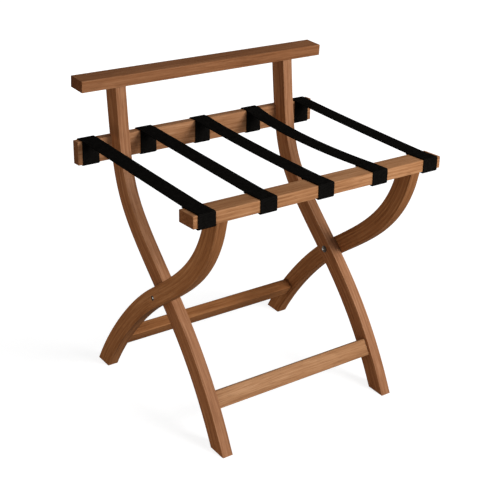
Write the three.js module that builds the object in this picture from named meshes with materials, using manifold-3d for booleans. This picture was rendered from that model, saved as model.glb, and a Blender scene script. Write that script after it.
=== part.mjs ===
// Folding luggage rack: two crossed wooden frames, five webbing straps and a raised back rail.
// Millimetres, +Z up, +Y towards the wall behind it, -X on the left of someone facing the rack.
// The origin lies on the floor, midway between the front foot tips and the back of the top rail.

import * as THREE from 'three';
import { mergeVertices } from 'three/addons/utils/BufferGeometryUtils.js';
import loadManifold from 'manifold-3d';

// Overall sizes
const RACK_WIDTH = 600;
const RACK_DEPTH = 471;
const SEAT_HEIGHT = 531.5; // front rail's top edge above the floor
const BACK_RISE = 123; // top of the back rail above the seat

// Gaps between pieces that touch on the real rack
const GAP = 0.3;
const HOLE_END_GAP = 0.8; // left beyond the end of a dowel, screw or tack

// Rails: depth front to back, height up, edge is the rounding along the bar
const RAIL_TILT = THREE.MathUtils.degToRad(4.5); // both strap rails lean back by this
const TOP_RAIL = { depth: 45.5, height: 23.8, edge: 1.5 };
const TOP_RAIL_SHORTER = 3; // than the strap rails
const FRONT_RAIL = { depth: 46, height: 24.5, edge: 1.5 };
const FRONT_RAIL_SETBACK = 25.5; // its front edge behind the front foot tips
const REAR_RAIL = { depth: 20, height: 49.2, edge: 1.5 };
const REAR_RAIL_DROP = 8; // its top edge below the seat height
const REAR_RAIL_HOUSING = 4; // how deep it is let into the posts at mid height
const RAIL_END_EDGE = 1; // less than the edge of any bar

// Stretchers: depth across the leg, height along the leg
const FRONT_STRETCHER = { depth: 23, height: 36, edge: 2 };
const FRONT_STRETCHER_HEIGHT = 84.5; // of its centre above the floor
const FRONT_STRETCHER_SETBACK = 6; // its front face behind the leg's front edge
const REAR_STRETCHER = { depth: 25, height: 35, edge: 2 };
const REAR_STRETCHER_HEIGHT = 83.5;
const REAR_STRETCHER_SETBACK = 6.7; // its lower face from the leg's lower edge

// Legs: slopes are from the floor, pulls set how far each bend reaches along its chord
const LEG_THICKNESS = 24;
const LEG_EDGE = 1.2;
const LEG_STEPS = 24;
const LEG_RUN_OUT = 60; // drawn past each end, then cut off at the floor and at the rail
const LONG_LEG = {
  lean: 1,
  width: 38.3,
  topWidth: 41,
  footSlope: 61,
  pivotSlope: 40,
  topSlope: 80.5,
  lowerPull: 0.36,
  upperPull: 0.53,
};
const CURVED_LEG = {
  lean: -1,
  width: 38.3,
  topWidth: 41,
  footSlope: 65,
  pivotSlope: 39,
  topSlope: 82.5,
  lowerPull: 0.3,
  upperPull: 0.38,
};
const REAR_FOOT_SETBACK = 22.5; // rear foot tips in front of the back of the top rail

// Pivot: bolt through both legs, nut in a counterbore on the outside
const PIVOT = new THREE.Vector2(-3, 255);
const BOLT_RADIUS = 3;
const BOLT_HEAD_RADIUS = 6;
const BOLT_HEAD_HEIGHT = 3;
const BOLT_CROWN = [[0, 0], [0.5, 0.14], [0.85, 0.48], [1, 1]]; // shares of the head's radius and height
const WASHER_THICKNESS = 1;
const HEAD_WASHER_RADIUS = 7.5;
const SPACER_WASHER_RADIUS = 9;
const NUT_WALL = 1.7;
const NUT_HEIGHT = 5;
const NUT_RECESS = 1.2; // nut and bolt end below the leg's outer face

// Straps
const STRAP_SAGS = [0.5, 0.5, 4, 11, 1.5]; // one strap each, left to right, at mid span
const STRAP_WIDTH = 38;
const STRAP_THICKNESS = 2.2;
const STRAP_END_MARGIN = 9.5; // outer straps from the ends of the rails
const STRAP_LEG_GAP = 4.6; // outer straps from the curved legs
const STRAP_TUCK = 3; // free ends stop this far below the rounding of the rail's top edge
const STRAP_SPAN_STEPS = 10;

// Fixings
const DOWEL_RADIUS = 4;
const DOWEL_CHAMFER = 1;
const DOWEL_SHORT_END = 14;
const DOWEL_LONG_END = 22;
const DOWEL_SPACING = 16;
const SCREW = { head: 4, shank: 2, cone: 2.5, intoLeg: 24, spacing: 24, point: 4 };
const TACK = { head: 4.5, shank: 1.2, cap: 1, intoRail: 11, point: 3 };

// How finely shapes are drawn and solved
const ROUND_SIDES = 10;
const CORNER_STEPS = 3;
const MERGE_DISTANCE = 1e-3;
const SHARE_TOLERANCE = 1e-7;

// Derived places
const LEG_GAP = WASHER_THICKNESS + 2 * GAP;
const CURVED_LEG_X = RACK_WIDTH / 2 - STRAP_END_MARGIN - STRAP_WIDTH - STRAP_LEG_GAP - LEG_THICKNESS / 2;
const LONG_LEG_X = CURVED_LEG_X - LEG_THICKNESS - LEG_GAP;
const STRAP_PITCH = (RACK_WIDTH - 2 * STRAP_END_MARGIN - STRAP_WIDTH) / (STRAP_SAGS.length - 1);
const STRAP_OFFSET = GAP + STRAP_THICKNESS / 2; // strap's middle from a rail's surface
const TOP_RAIL_Y = RACK_DEPTH / 2 - TOP_RAIL.depth / 2;
const TOP_RAIL_Z = SEAT_HEIGHT + BACK_RISE - TOP_RAIL.height / 2;
const SIDES = { left: -1, right: 1 };

const WOOD = { color: 0x9a6238, roughness: 0.55, metalness: 0 };
const DOWEL_WOOD = { color: 0xc79a63, roughness: 0.7, metalness: 0 };
const WEBBING = { color: 0x0d0d0e, roughness: 0.9, metalness: 0 };
const STEEL = { color: 0x9c9c9a, roughness: 0.35, metalness: 1 };

const wasm = await loadManifold();
wasm.setup();

// Keeps only the positions of a geometry, with shared corners merged and collapsed triangles dropped.
function closed(geometry) {
  const bare = geometry.clone();
  bare.deleteAttribute('normal');
  bare.deleteAttribute('uv');
  const merged = mergeVertices(bare, MERGE_DISTANCE);
  const corners = merged.index.array;
  const kept = [];
  for (let i = 0; i < corners.length; i += 3) {
    const [a, b, c] = corners.slice(i, i + 3);
    if (a !== b && b !== c && c !== a) kept.push(a, b, c);
  }
  merged.setIndex(kept);
  return merged;
}

function toSolid(geometry) {
  const bare = closed(geometry);
  return new wasm.Manifold(new wasm.Mesh({
    numProp: 3,
    vertProperties: new Float32Array(bare.attributes.position.array),
    triVerts: new Uint32Array(bare.index.array),
  }));
}

function carve(geometry, tools) {
  let solid = toSolid(geometry);
  for (const tool of tools) solid = solid.subtract(toSolid(tool));
  const mesh = solid.getMesh();
  const result = new THREE.BufferGeometry();
  result.setAttribute('position', new THREE.BufferAttribute(mesh.vertProperties, 3));
  result.setIndex(new THREE.BufferAttribute(mesh.triVerts, 1));
  return result;
}

// Extrudes an outline drawn in (y, z) along X, centred on x = 0, with its edges eased.
function extrudeAlongX(shape, length, edge, edgeSteps) {
  const geometry = new THREE.ExtrudeGeometry(shape, {
    depth: length - 2 * edge,
    steps: 1,
    curveSegments: CORNER_STEPS,
    bevelEnabled: edge > 0,
    bevelThickness: edge,
    bevelSize: edge,
    bevelOffset: -edge,
    bevelSegments: edgeSteps,
  });
  geometry.translate(0, 0, edge - length / 2);
  const turn = new THREE.Matrix4().makeBasis(
    new THREE.Vector3(0, 1, 0),
    new THREE.Vector3(0, 0, 1),
    new THREE.Vector3(1, 0, 0),
  );
  return geometry.applyMatrix4(turn);
}

function barGeometry(section, length) {
  const y = section.depth / 2 - section.edge;
  const z = section.height / 2 - section.edge;
  const shape = new THREE.Shape();
  shape.absarc(y, z, section.edge, 0, Math.PI / 2);
  shape.absarc(-y, z, section.edge, Math.PI / 2, Math.PI);
  shape.absarc(-y, -z, section.edge, Math.PI, Math.PI * 1.5);
  shape.absarc(y, -z, section.edge, Math.PI * 1.5, Math.PI * 2);
  shape.closePath();
  return extrudeAlongX(shape, length, RAIL_END_EDGE, 1);
}

// A box tool with its centre at (0, y, z), turned about X.
function boxTool(sizeX, sizeY, sizeZ, y, z, tilt = 0) {
  return new THREE.BoxGeometry(sizeX, sizeY, sizeZ).rotateX(-tilt).translate(0, y, z);
}

// A turned piece: the profile's (radius, distance) pairs run along the axis from a start point.
function turned(profile, start, axis) {
  const points = profile.map(([radius, distance]) => new THREE.Vector2(radius, distance));
  const geometry = new THREE.LatheGeometry(points, ROUND_SIDES);
  const turn = new THREE.Quaternion().setFromUnitVectors(new THREE.Vector3(0, 1, 0), axis);
  return geometry.applyQuaternion(turn).translate(start.x, start.y, start.z);
}

const rod = (radius, from, to) => [[0, from], [radius, from], [radius, to], [0, to]];
const ring = (inner, outer, from, to) => [
  [inner, from], [outer, from], [outer, to], [inner, to], [inner, from],
];

function addMesh(group, name, geometry, look) {
  const mesh = new THREE.Mesh(closed(geometry), new THREE.MeshStandardMaterial(look));
  mesh.name = name;
  group.add(mesh);
  return mesh;
}

// A rail or stretcher: its centre, its lean, and the way from its own axes to (y, z).
class Bar {
  constructor(section, y, z, tilt = 0) {
    Object.assign(this, { section, y, z, tilt });
  }

  // d runs back along the bar's depth, h up its height, both from its centre.
  point(d, h) {
    const cos = Math.cos(this.tilt);
    const sin = Math.sin(this.tilt);
    return new THREE.Vector2(this.y + d * cos + h * sin, this.z - d * sin + h * cos);
  }

  at(x, d, h) {
    const { x: y, y: z } = this.point(d, h);
    return new THREE.Vector3(x, y, z);
  }

  get backward() {
    return new THREE.Vector3(0, Math.cos(this.tilt), -Math.sin(this.tilt));
  }

  get upward() {
    return new THREE.Vector3(0, Math.sin(this.tilt), Math.cos(this.tilt));
  }

  place(mesh) {
    mesh.position.set(0, this.y, this.z);
    mesh.rotation.x = -this.tilt;
  }

  // Moves tools drawn in the rack's frame into the bar's own frame, where its geometry is cut.
  localTools(tools) {
    return tools.map((tool) => tool.clone().translate(0, -this.y, -this.z).rotateX(this.tilt));
  }
}

// The way a leg runs where it slopes by this angle from the floor.
function legSlope(leg, slope) {
  const angle = THREE.MathUtils.degToRad(slope);
  return new THREE.Vector2(leg.lean * Math.cos(angle), Math.sin(angle));
}

// Leg centrelines: one bend from the foot to the pivot, one from the pivot to the top.
function legPath(leg, foot, top) {
  const across = legSlope(leg, leg.pivotSlope);
  const lowerReach = leg.lowerPull * foot.distanceTo(PIVOT);
  const upperReach = leg.upperPull * top.distanceTo(PIVOT);
  const path = new THREE.CurvePath();
  path.add(new THREE.CubicBezierCurve(
    foot,
    legSlope(leg, leg.footSlope).multiplyScalar(lowerReach).add(foot),
    across.clone().multiplyScalar(-lowerReach).add(PIVOT),
    PIVOT,
  ));
  path.add(new THREE.CubicBezierCurve(
    PIVOT,
    across.clone().multiplyScalar(upperReach).add(PIVOT),
    legSlope(leg, leg.topSlope).multiplyScalar(-upperReach).add(top),
    top,
  ));
  return path;
}

// The place at a share of a leg's length: its centre, direction, side normal and half width.
function legStation(leg, path, share) {
  const centre = path.getPoint(share);
  const along = path.getTangent(share);
  const side = new THREE.Vector2(-along.y, along.x).multiplyScalar(leg.lean);
  const pivotShare = path.curves[0].getLength() / path.getLength();
  const rise = Math.max(0, (share - pivotShare) / (1 - pivotShare));
  const half = THREE.MathUtils.lerp(leg.width, leg.topWidth, rise) / 2;
  return { centre, along, side, half };
}

function legAtHeight(leg, path, height) {
  let low = 0;
  let high = 1;
  while (high - low > SHARE_TOLERANCE) {
    const middle = (low + high) / 2;
    if (path.getPoint(middle).y < height) low = middle;
    else high = middle;
  }
  return legStation(leg, path, low);
}

// side points up and forward on the long legs, up and back on the curved legs.
function legGeometry(leg, path) {
  const upper = [];
  const lower = [];
  for (let step = -1; step <= LEG_STEPS + 1; step++) {
    const share = THREE.MathUtils.clamp(step / LEG_STEPS, 0, 1);
    const station = legStation(leg, path, share);
    const runOut = step < 0 ? -LEG_RUN_OUT : step > LEG_STEPS ? LEG_RUN_OUT : 0;
    const centre = station.centre.addScaledVector(station.along, runOut);
    upper.push(centre.clone().addScaledVector(station.side, station.half));
    lower.push(centre.clone().addScaledVector(station.side, -station.half));
  }
  const shape = new THREE.Shape([...upper, ...lower.reverse()]);
  return extrudeAlongX(shape, LEG_THICKNESS, LEG_EDGE, 1);
}

// Where the rails and feet stand, and the leg curves between them
const topRail = new Bar(TOP_RAIL, TOP_RAIL_Y, TOP_RAIL_Z);
const frontRail = new Bar(FRONT_RAIL, 0, 0, RAIL_TILT);
const frontTopEdge = frontRail.point(-FRONT_RAIL.depth / 2, FRONT_RAIL.height / 2);
frontRail.y = FRONT_RAIL_SETBACK - RACK_DEPTH / 2 - frontTopEdge.x;
frontRail.z = SEAT_HEIGHT - frontTopEdge.y;

const halfCut = (leg) => leg.width / 2 / Math.sin(THREE.MathUtils.degToRad(leg.footSlope));
const frontFoot = new THREE.Vector2(halfCut(LONG_LEG) - RACK_DEPTH / 2, 0);
const rearFoot = new THREE.Vector2(RACK_DEPTH / 2 - REAR_FOOT_SETBACK - halfCut(CURVED_LEG), 0);
const longPath = legPath(LONG_LEG, frontFoot, topRail.point(0, -TOP_RAIL.height / 2));
const curvedPath = legPath(CURVED_LEG, rearFoot, frontRail.point(0, -FRONT_RAIL.height / 2));

const rearRail = new Bar(REAR_RAIL, 0, 0, RAIL_TILT);
const rearTopEdge = rearRail.point(-REAR_RAIL.depth / 2, REAR_RAIL.height / 2);
rearRail.z = SEAT_HEIGHT - REAR_RAIL_DROP - rearTopEdge.y;
const behindPost = legAtHeight(LONG_LEG, longPath, rearRail.z);
const postBack = behindPost.centre.x + behindPost.half / behindPost.along.y;
rearRail.y = postBack - REAR_RAIL_HOUSING + REAR_RAIL.depth / 2;

// A stretcher's depth lies across its leg, with one face set back from the leg's forward edge.
function stretcherBar(section, leg, path, height, setback) {
  const { centre, along, side, half } = legAtHeight(leg, path, height);
  const across = side.clone().multiplyScalar(-leg.lean);
  const offset = setback + section.depth / 2 - half;
  const tilt = Math.PI / 2 - along.angle();
  return new Bar(section, centre.x + across.x * offset, centre.y + across.y * offset, tilt);
}
const frontStretcher = stretcherBar(
  FRONT_STRETCHER, LONG_LEG, longPath, FRONT_STRETCHER_HEIGHT, FRONT_STRETCHER_SETBACK,
);
const rearStretcher = stretcherBar(
  REAR_STRETCHER, CURVED_LEG, curvedPath, REAR_STRETCHER_HEIGHT, REAR_STRETCHER_SETBACK,
);

// Dowels: short end first, from the joint face at start along axis
const DOWEL_PROFILE = [
  [0, -DOWEL_SHORT_END],
  [DOWEL_RADIUS - DOWEL_CHAMFER, -DOWEL_SHORT_END],
  [DOWEL_RADIUS, DOWEL_CHAMFER - DOWEL_SHORT_END],
  [DOWEL_RADIUS, DOWEL_LONG_END - DOWEL_CHAMFER],
  [DOWEL_RADIUS - DOWEL_CHAMFER, DOWEL_LONG_END],
  [0, DOWEL_LONG_END],
];
const DOWEL_HOLE = rod(
  DOWEL_RADIUS + GAP, -DOWEL_SHORT_END - HOLE_END_GAP, DOWEL_LONG_END + HOLE_END_GAP,
);

function dowel(name, start, axis) {
  return {
    name,
    look: DOWEL_WOOD,
    body: turned(DOWEL_PROFILE, start, axis),
    hole: turned(DOWEL_HOLE, start, axis),
  };
}

// Two dowels up from a leg's top into the bar it carries.
function railDowels(name, bar, x) {
  return Object.entries({ front: -1, back: 1 }).map(([place, sign]) => {
    const start = bar.at(x, sign * DOWEL_SPACING / 2, -bar.section.height / 2);
    return dowel(`${name}_${place}`, start, bar.upward.negate());
  });
}

// Two dowels from a leg's inner face into the end of a stretcher, spaced along its longer side.
function stretcherDowels(name, bar, sideSign, innerX) {
  const upright = bar.section.height > bar.section.depth;
  return Object.entries({ lower: -1, upper: 1 }).map(([place, sign]) => {
    const shift = sign * DOWEL_SPACING / 2;
    const start = bar.at(sideSign * innerX, upright ? 0 : shift, upright ? shift : 0);
    return dowel(`${name}_${place}`, start, new THREE.Vector3(-sideSign, 0, 0));
  });
}

// Screws through the back of the rear rail into a post.
function railScrews(name, x) {
  const length = REAR_RAIL.depth + SCREW.intoLeg;
  return Object.entries({ lower: -1, upper: 1 }).map(([place, sign]) => {
    const start = rearRail.at(x, REAR_RAIL.depth / 2 - GAP, sign * SCREW.spacing / 2);
    const axis = rearRail.backward.negate();
    const body = [
      [0, 0], [SCREW.head, 0], [SCREW.shank, SCREW.cone],
      [SCREW.shank, length - SCREW.point], [0, length],
    ];
    const hole = [
      [0, -LEG_EDGE], [SCREW.head + GAP, -LEG_EDGE], [SCREW.head + GAP, GAP],
      [SCREW.shank + GAP, SCREW.cone + GAP], [SCREW.shank + GAP, length + HOLE_END_GAP],
      [0, length + HOLE_END_GAP],
    ];
    return {
      name: `${name}_${place}`,
      look: STEEL,
      body: turned(body, start, axis),
      hole: turned(hole, start, axis),
    };
  });
}

// A tack through a strap into a rail's face; out is the way the face looks.
function strapTack(name, onFace, out) {
  const inward = out.clone().negate();
  const start = onFace.clone().addScaledVector(out, 2 * GAP + STRAP_THICKNESS + TACK.cap);
  const length = TACK.cap + 2 * GAP + STRAP_THICKNESS + TACK.intoRail;
  const body = [
    [0, 0], [TACK.head, 0], [TACK.head, TACK.cap], [TACK.shank, TACK.cap],
    [TACK.shank, length - TACK.point], [0, length],
  ];
  return {
    name,
    look: STEEL,
    body: turned(body, start, inward),
    hole: turned(rod(TACK.shank + GAP, 0, length + HOLE_END_GAP), start, inward),
  };
}

// Pivot hardware on one side, measured outwards along X from the long leg's inner face.
function pivotPieces(side, sideSign) {
  const start = new THREE.Vector3(sideSign * (LONG_LEG_X - LEG_THICKNESS / 2), PIVOT.x, PIVOT.y);
  const axis = new THREE.Vector3(sideSign, 0, 0);
  const legsOut = 2 * LEG_THICKNESS + LEG_GAP;
  const boltEnd = legsOut - NUT_RECESS;
  const headSeat = -WASHER_THICKNESS - 2 * GAP;
  const nutRadius = BOLT_RADIUS + GAP + NUT_WALL;
  const inner = BOLT_RADIUS + GAP;
  const crown = headSeat - BOLT_HEAD_HEIGHT;
  const boltProfile = [
    ...BOLT_CROWN.map(([out, down]) => [out * BOLT_HEAD_RADIUS, crown + down * BOLT_HEAD_HEIGHT]),
    [BOLT_RADIUS, headSeat],
    [BOLT_RADIUS, boltEnd],
    [0, boltEnd],
  ];
  const nutStart = boltEnd - NUT_HEIGHT;
  const make = (name, profile) => ({ name: `${name}_${side}`, body: turned(profile, start, axis) });
  return {
    pieces: [
      make('pivot_bolt', boltProfile),
      make('head_washer', ring(inner, HEAD_WASHER_RADIUS, -GAP - WASHER_THICKNESS, -GAP)),
      make('spacer_washer', ring(
        inner, SPACER_WASHER_RADIUS, LEG_THICKNESS + GAP, LEG_THICKNESS + GAP + WASHER_THICKNESS,
      )),
      make('pivot_nut', ring(inner, nutRadius, nutStart, boltEnd)),
    ],
    holes: [
      turned(rod(inner, -LEG_THICKNESS, legsOut), start, axis),
      turned(rod(nutRadius + GAP, nutStart - GAP, legsOut + LEG_EDGE), start, axis),
    ],
  };
}

// Points round one corner of a rail, from one angle to the next, offset for a strap.
function cornerPoints(bar, depthSign, heightSign, fromQuarter) {
  const { depth, height, edge } = bar.section;
  const points = [];
  for (let step = 0; step <= CORNER_STEPS; step++) {
    const angle = (fromQuarter + step / CORNER_STEPS) * Math.PI / 2;
    const d = depthSign * (depth / 2 - edge) + (edge + STRAP_OFFSET) * Math.cos(angle);
    const h = heightSign * (height / 2 - edge) + (edge + STRAP_OFFSET) * Math.sin(angle);
    points.push(bar.point(d, h));
  }
  return points;
}

// The middle line of a strap: round the rear rail, across with its sag, and round the front rail.
function strapLine(sag) {
  const freeEnd = (bar, depthSign) => bar.point(
    depthSign * (bar.section.depth / 2 + STRAP_OFFSET),
    bar.section.height / 2 - bar.section.edge - STRAP_TUCK,
  );
  const rearWrap = [
    freeEnd(rearRail, -1),
    ...cornerPoints(rearRail, -1, -1, 2),
    ...cornerPoints(rearRail, 1, -1, 3),
    ...cornerPoints(rearRail, 1, 1, 0),
  ];
  const leave = cornerPoints(rearRail, -1, 1, 1)[0];
  const arrive = cornerPoints(frontRail, 1, 1, 0)[CORNER_STEPS];
  const span = [];
  for (let step = 0; step <= STRAP_SPAN_STEPS; step++) {
    const share = step / STRAP_SPAN_STEPS;
    const point = leave.clone().lerp(arrive, share);
    point.y -= sag * 4 * share * (1 - share);
    span.push(point);
  }
  const frontWrap = [
    ...cornerPoints(frontRail, -1, 1, 1),
    ...cornerPoints(frontRail, -1, -1, 2),
    ...cornerPoints(frontRail, 1, -1, 3),
    freeEnd(frontRail, 1),
  ];
  return [...rearWrap, ...span, ...frontWrap];
}

function strapGeometry(sag) {
  const line = strapLine(sag);
  const outer = [];
  const inner = [];
  line.forEach((point, i) => {
    const before = point.clone().sub(line[Math.max(i - 1, 0)]).normalize();
    const after = line[Math.min(i + 1, line.length - 1)].clone().sub(point).normalize();
    const along = before.clone().add(after).normalize();
    const turn = Math.max(along.dot(before), along.dot(after));
    const out = new THREE.Vector2(along.y, -along.x).multiplyScalar(STRAP_THICKNESS / 2 / turn);
    outer.push(point.clone().add(out));
    inner.push(point.clone().sub(out));
  });
  return extrudeAlongX(new THREE.Shape([...outer, ...inner.reverse()]), STRAP_WIDTH, 0, 0);
}

const rack = new THREE.Group();
const backFrame = new THREE.Group();
const frontFrame = new THREE.Group();
const seat = new THREE.Group();
rack.add(backFrame, frontFrame, seat);

// Tacks sit behind the rear rail and below the front rail, in the middle of each strap
const straps = STRAP_SAGS.map((sag, i) => {
  const x = (i - (STRAP_SAGS.length - 1) / 2) * STRAP_PITCH;
  return {
    name: `strap_${i + 1}`,
    x,
    sag,
    rearTack: strapTack(`rear_tack_${i + 1}`, rearRail.at(x, REAR_RAIL.depth / 2, 0), rearRail.backward),
    frontTack: strapTack(
      `front_tack_${i + 1}`, frontRail.at(x, 0, -FRONT_RAIL.height / 2), frontRail.upward.negate(),
    ),
  };
});

const sides = Object.entries(SIDES).map(([side, sign]) => ({
  side,
  sign,
  pivot: pivotPieces(side, sign),
  topDowels: railDowels(`top_rail_dowel_${side}`, topRail, sign * LONG_LEG_X),
  frontDowels: railDowels(`front_rail_dowel_${side}`, frontRail, sign * CURVED_LEG_X),
  screws: railScrews(`rear_rail_screw_${side}`, sign * LONG_LEG_X),
  frontStretcherDowels: stretcherDowels(
    `front_stretcher_dowel_${side}`, frontStretcher, sign, LONG_LEG_X - LEG_THICKNESS / 2,
  ),
  rearStretcherDowels: stretcherDowels(
    `rear_stretcher_dowel_${side}`, rearStretcher, sign, CURVED_LEG_X - LEG_THICKNESS / 2,
  ),
}));

// Cuts shared by all legs: the floor, and the underside of the rail on top
const floorCut = boxTool(RACK_WIDTH, 2 * RACK_DEPTH, 2 * LEG_RUN_OUT, 0, -LEG_RUN_OUT);
function topCut(bar) {
  const centre = bar.point(0, LEG_RUN_OUT - bar.section.height / 2 - GAP);
  return boxTool(RACK_WIDTH, 2 * RACK_DEPTH, 2 * LEG_RUN_OUT, centre.x, centre.y, bar.tilt);
}

function addLeg(group, name, leg, path, x, tools) {
  const local = tools.map((tool) => tool.clone().translate(-x, 0, 0));
  const geometry = carve(legGeometry(leg, path), [floorCut, ...local]);
  addMesh(group, name, geometry, WOOD).position.x = x;
}

function addBar(group, name, bar, length, fixings) {
  const tools = bar.localTools(fixings.map((fixing) => fixing.hole));
  bar.place(addMesh(group, name, carve(barGeometry(bar.section, length), tools), WOOD));
}

function addFixings(group, fixings) {
  for (const { name, body, look } of fixings) addMesh(group, name, body, look);
}

// The rear rail's housing in the posts
const housing = boxTool(
  RACK_WIDTH, REAR_RAIL.depth + 2 * GAP, REAR_RAIL.height + 2 * GAP, rearRail.y, rearRail.z, RAIL_TILT,
);

for (const { side, sign, pivot, topDowels, frontDowels, screws, ...ends } of sides) {
  const longFixings = [...topDowels, ...screws, ...ends.frontStretcherDowels];
  const curvedFixings = [...frontDowels, ...ends.rearStretcherDowels];
  const holes = (fixings) => fixings.map((fixing) => fixing.hole);
  addLeg(backFrame, `long_leg_${side}`, LONG_LEG, longPath, sign * LONG_LEG_X, [
    topCut(topRail), housing, pivot.holes[0], ...holes(longFixings),
  ]);
  addLeg(frontFrame, `curved_leg_${side}`, CURVED_LEG, curvedPath, sign * CURVED_LEG_X, [
    topCut(frontRail), ...pivot.holes, ...holes(curvedFixings),
  ]);
  addFixings(backFrame, longFixings);
  addFixings(frontFrame, curvedFixings);
  for (const { name, body } of pivot.pieces) addMesh(backFrame, name, body, STEEL);
}

const all = (key) => sides.flatMap((entry) => entry[key]);
const rearTacks = straps.map((strap) => strap.rearTack);
const frontTacks = straps.map((strap) => strap.frontTack);
const between = (legX) => 2 * (legX - LEG_THICKNESS / 2 - GAP);
addBar(backFrame, 'top_rail', topRail, RACK_WIDTH - TOP_RAIL_SHORTER, all('topDowels'));
addBar(backFrame, 'rear_rail', rearRail, RACK_WIDTH, [...all('screws'), ...rearTacks]);
addBar(backFrame, 'front_stretcher', frontStretcher, between(LONG_LEG_X), all('frontStretcherDowels'));
addBar(frontFrame, 'front_rail', frontRail, RACK_WIDTH, [...all('frontDowels'), ...frontTacks]);
addBar(frontFrame, 'rear_stretcher', rearStretcher, between(CURVED_LEG_X), all('rearStretcherDowels'));
addFixings(backFrame, rearTacks);
addFixings(frontFrame, frontTacks);

for (const { name, x, sag, rearTack, frontTack } of straps) {
  const tools = [rearTack, frontTack].map(({ hole }) => hole.clone().translate(-x, 0, 0));
  addMesh(seat, name, carve(strapGeometry(sag), tools), WEBBING).position.x = x;
}

export default rack;
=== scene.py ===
import math

import bmesh
import bpy
import numpy as np
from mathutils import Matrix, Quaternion, Vector


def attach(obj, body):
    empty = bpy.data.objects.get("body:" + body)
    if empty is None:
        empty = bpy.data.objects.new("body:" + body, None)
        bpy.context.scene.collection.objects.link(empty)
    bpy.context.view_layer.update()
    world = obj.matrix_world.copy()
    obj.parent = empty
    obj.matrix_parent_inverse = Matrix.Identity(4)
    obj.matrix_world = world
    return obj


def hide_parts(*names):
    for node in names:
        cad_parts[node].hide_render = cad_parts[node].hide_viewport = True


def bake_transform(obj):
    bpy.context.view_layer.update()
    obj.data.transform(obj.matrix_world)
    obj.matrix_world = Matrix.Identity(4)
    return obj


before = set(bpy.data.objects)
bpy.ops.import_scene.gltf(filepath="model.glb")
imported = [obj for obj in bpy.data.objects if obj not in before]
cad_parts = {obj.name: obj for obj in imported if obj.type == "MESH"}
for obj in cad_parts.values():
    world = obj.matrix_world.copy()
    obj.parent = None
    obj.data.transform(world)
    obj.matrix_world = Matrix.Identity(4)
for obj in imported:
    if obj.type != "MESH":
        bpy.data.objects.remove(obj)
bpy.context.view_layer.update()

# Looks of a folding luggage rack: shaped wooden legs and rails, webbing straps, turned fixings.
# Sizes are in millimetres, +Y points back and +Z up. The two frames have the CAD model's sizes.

scene = bpy.context.scene
scene.view_settings.view_transform = "Standard"

# Overall sizes
MM = 0.001  # metres in a millimetre
GAP = 0.3  # between pieces that touch on the real rack
RACK_WIDTH = 600
RACK_DEPTH = 471
SEAT_HEIGHT = 531.5  # front rail's top edge above the floor
BACK_RISE = 123  # top of the back rail above the seat
BACK, FRONT = "back_frame", "front_frame"
SIDES = {"left": -1, "right": 1}
CORNERS = ((1, 1), (-1, 1), (-1, -1), (1, -1))  # of a section, as signs of depth and height
BACK_TOP, FRONT_TOP, FRONT_BOTTOM, BACK_BOTTOM = range(4)  # their places in that list

# Bars: depth front to back, height up, edge is the rounding along the bar
RAIL_TILT = math.radians(4.5)  # both strap rails lean back by this
TOP_RAIL = dict(depth=45.5, height=23.8, edge=1.5)
TOP_RAIL_SHORTER = 3  # than the strap rails
FRONT_RAIL = dict(depth=46, height=24.5, edge=1.5)
FRONT_RAIL_SETBACK = 25.5  # its front edge behind the front foot tips
REAR_RAIL = dict(depth=20, height=49.2, edge=1.5)
REAR_RAIL_DROP = 8  # its top edge below the seat height
REAR_RAIL_HOUSING = 4  # how deep it is let into the posts at mid height
FRONT_STRETCHER = dict(depth=23, height=36, edge=2)
FRONT_STRETCHER_HEIGHT = 84.5  # where it crosses the leg's middle line, above the floor
FRONT_STRETCHER_SETBACK = 6  # its front face behind the leg's front edge
REAR_STRETCHER = dict(depth=25, height=35, edge=2)
REAR_STRETCHER_HEIGHT = 83.5
REAR_STRETCHER_SETBACK = 6.7  # its lower face from the leg's lower edge
BAR_END_EDGE = 1.2  # rounding of a bar's ends, a little more than the CAD model's
BAR_END_LOSS = 0.5  # share of an end's inset that its corners lose in rounding

# Legs: slopes are degrees from the floor, pulls set how far each bend reaches along its chord
LEG_THICKNESS = 24
LEG_EDGE = 1.2
LEG_EASE = 0.9  # bevel of a leg's ends and cuts, where they turn by more than the angle
LEG_EASE_ANGLE = math.radians(40)
LONG_LEG = dict(
    lean=1, width=38.3, top_width=41,
    foot_slope=61, pivot_slope=40, top_slope=80.5, lower_pull=0.36, upper_pull=0.53,
)
CURVED_LEG = dict(
    lean=-1, width=38.3, top_width=41,
    foot_slope=65, pivot_slope=39, top_slope=82.5, lower_pull=0.3, upper_pull=0.38,
)
REAR_FOOT_SETBACK = 22.5  # rear foot tips in front of the back of the top rail

# Pivot: bolt through both legs, nut in a counterbore on the outside
PIVOT = Vector((-3, 255))
BOLT_RADIUS = 3
BOLT_CHAMFER = 0.5
BOLT_HEAD_RADIUS = 6
BOLT_HEAD_HEIGHT = 3
WASHER_THICKNESS = 1
HEAD_WASHER_RADIUS = 7.5
SPACER_WASHER_RADIUS = 9
NUT_WALL = 1.7
NUT_HEIGHT = 5
NUT_RECESS = 1.2  # nut and bolt end below the leg's outer face

# Screws and tacks
SCREW_HEAD = 4
SCREW_SHANK = 2
SCREW_NECK = 3  # where the head's cone ends, below the rail's face
SCREW_INTO_LEG = 24
SCREW_POINT = 4
SCREW_SPACING = 24
SINK_DEPTH = 3.2
SINK_ROOM = 1  # drawn past the rail's face, so that the cut is clean
TACK_HEAD = 4.5
TACK_CAP = 1.1
TACK_SHANK = 1.2
TACK_LENGTH = 13
TACK_POINT = 3

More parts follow.
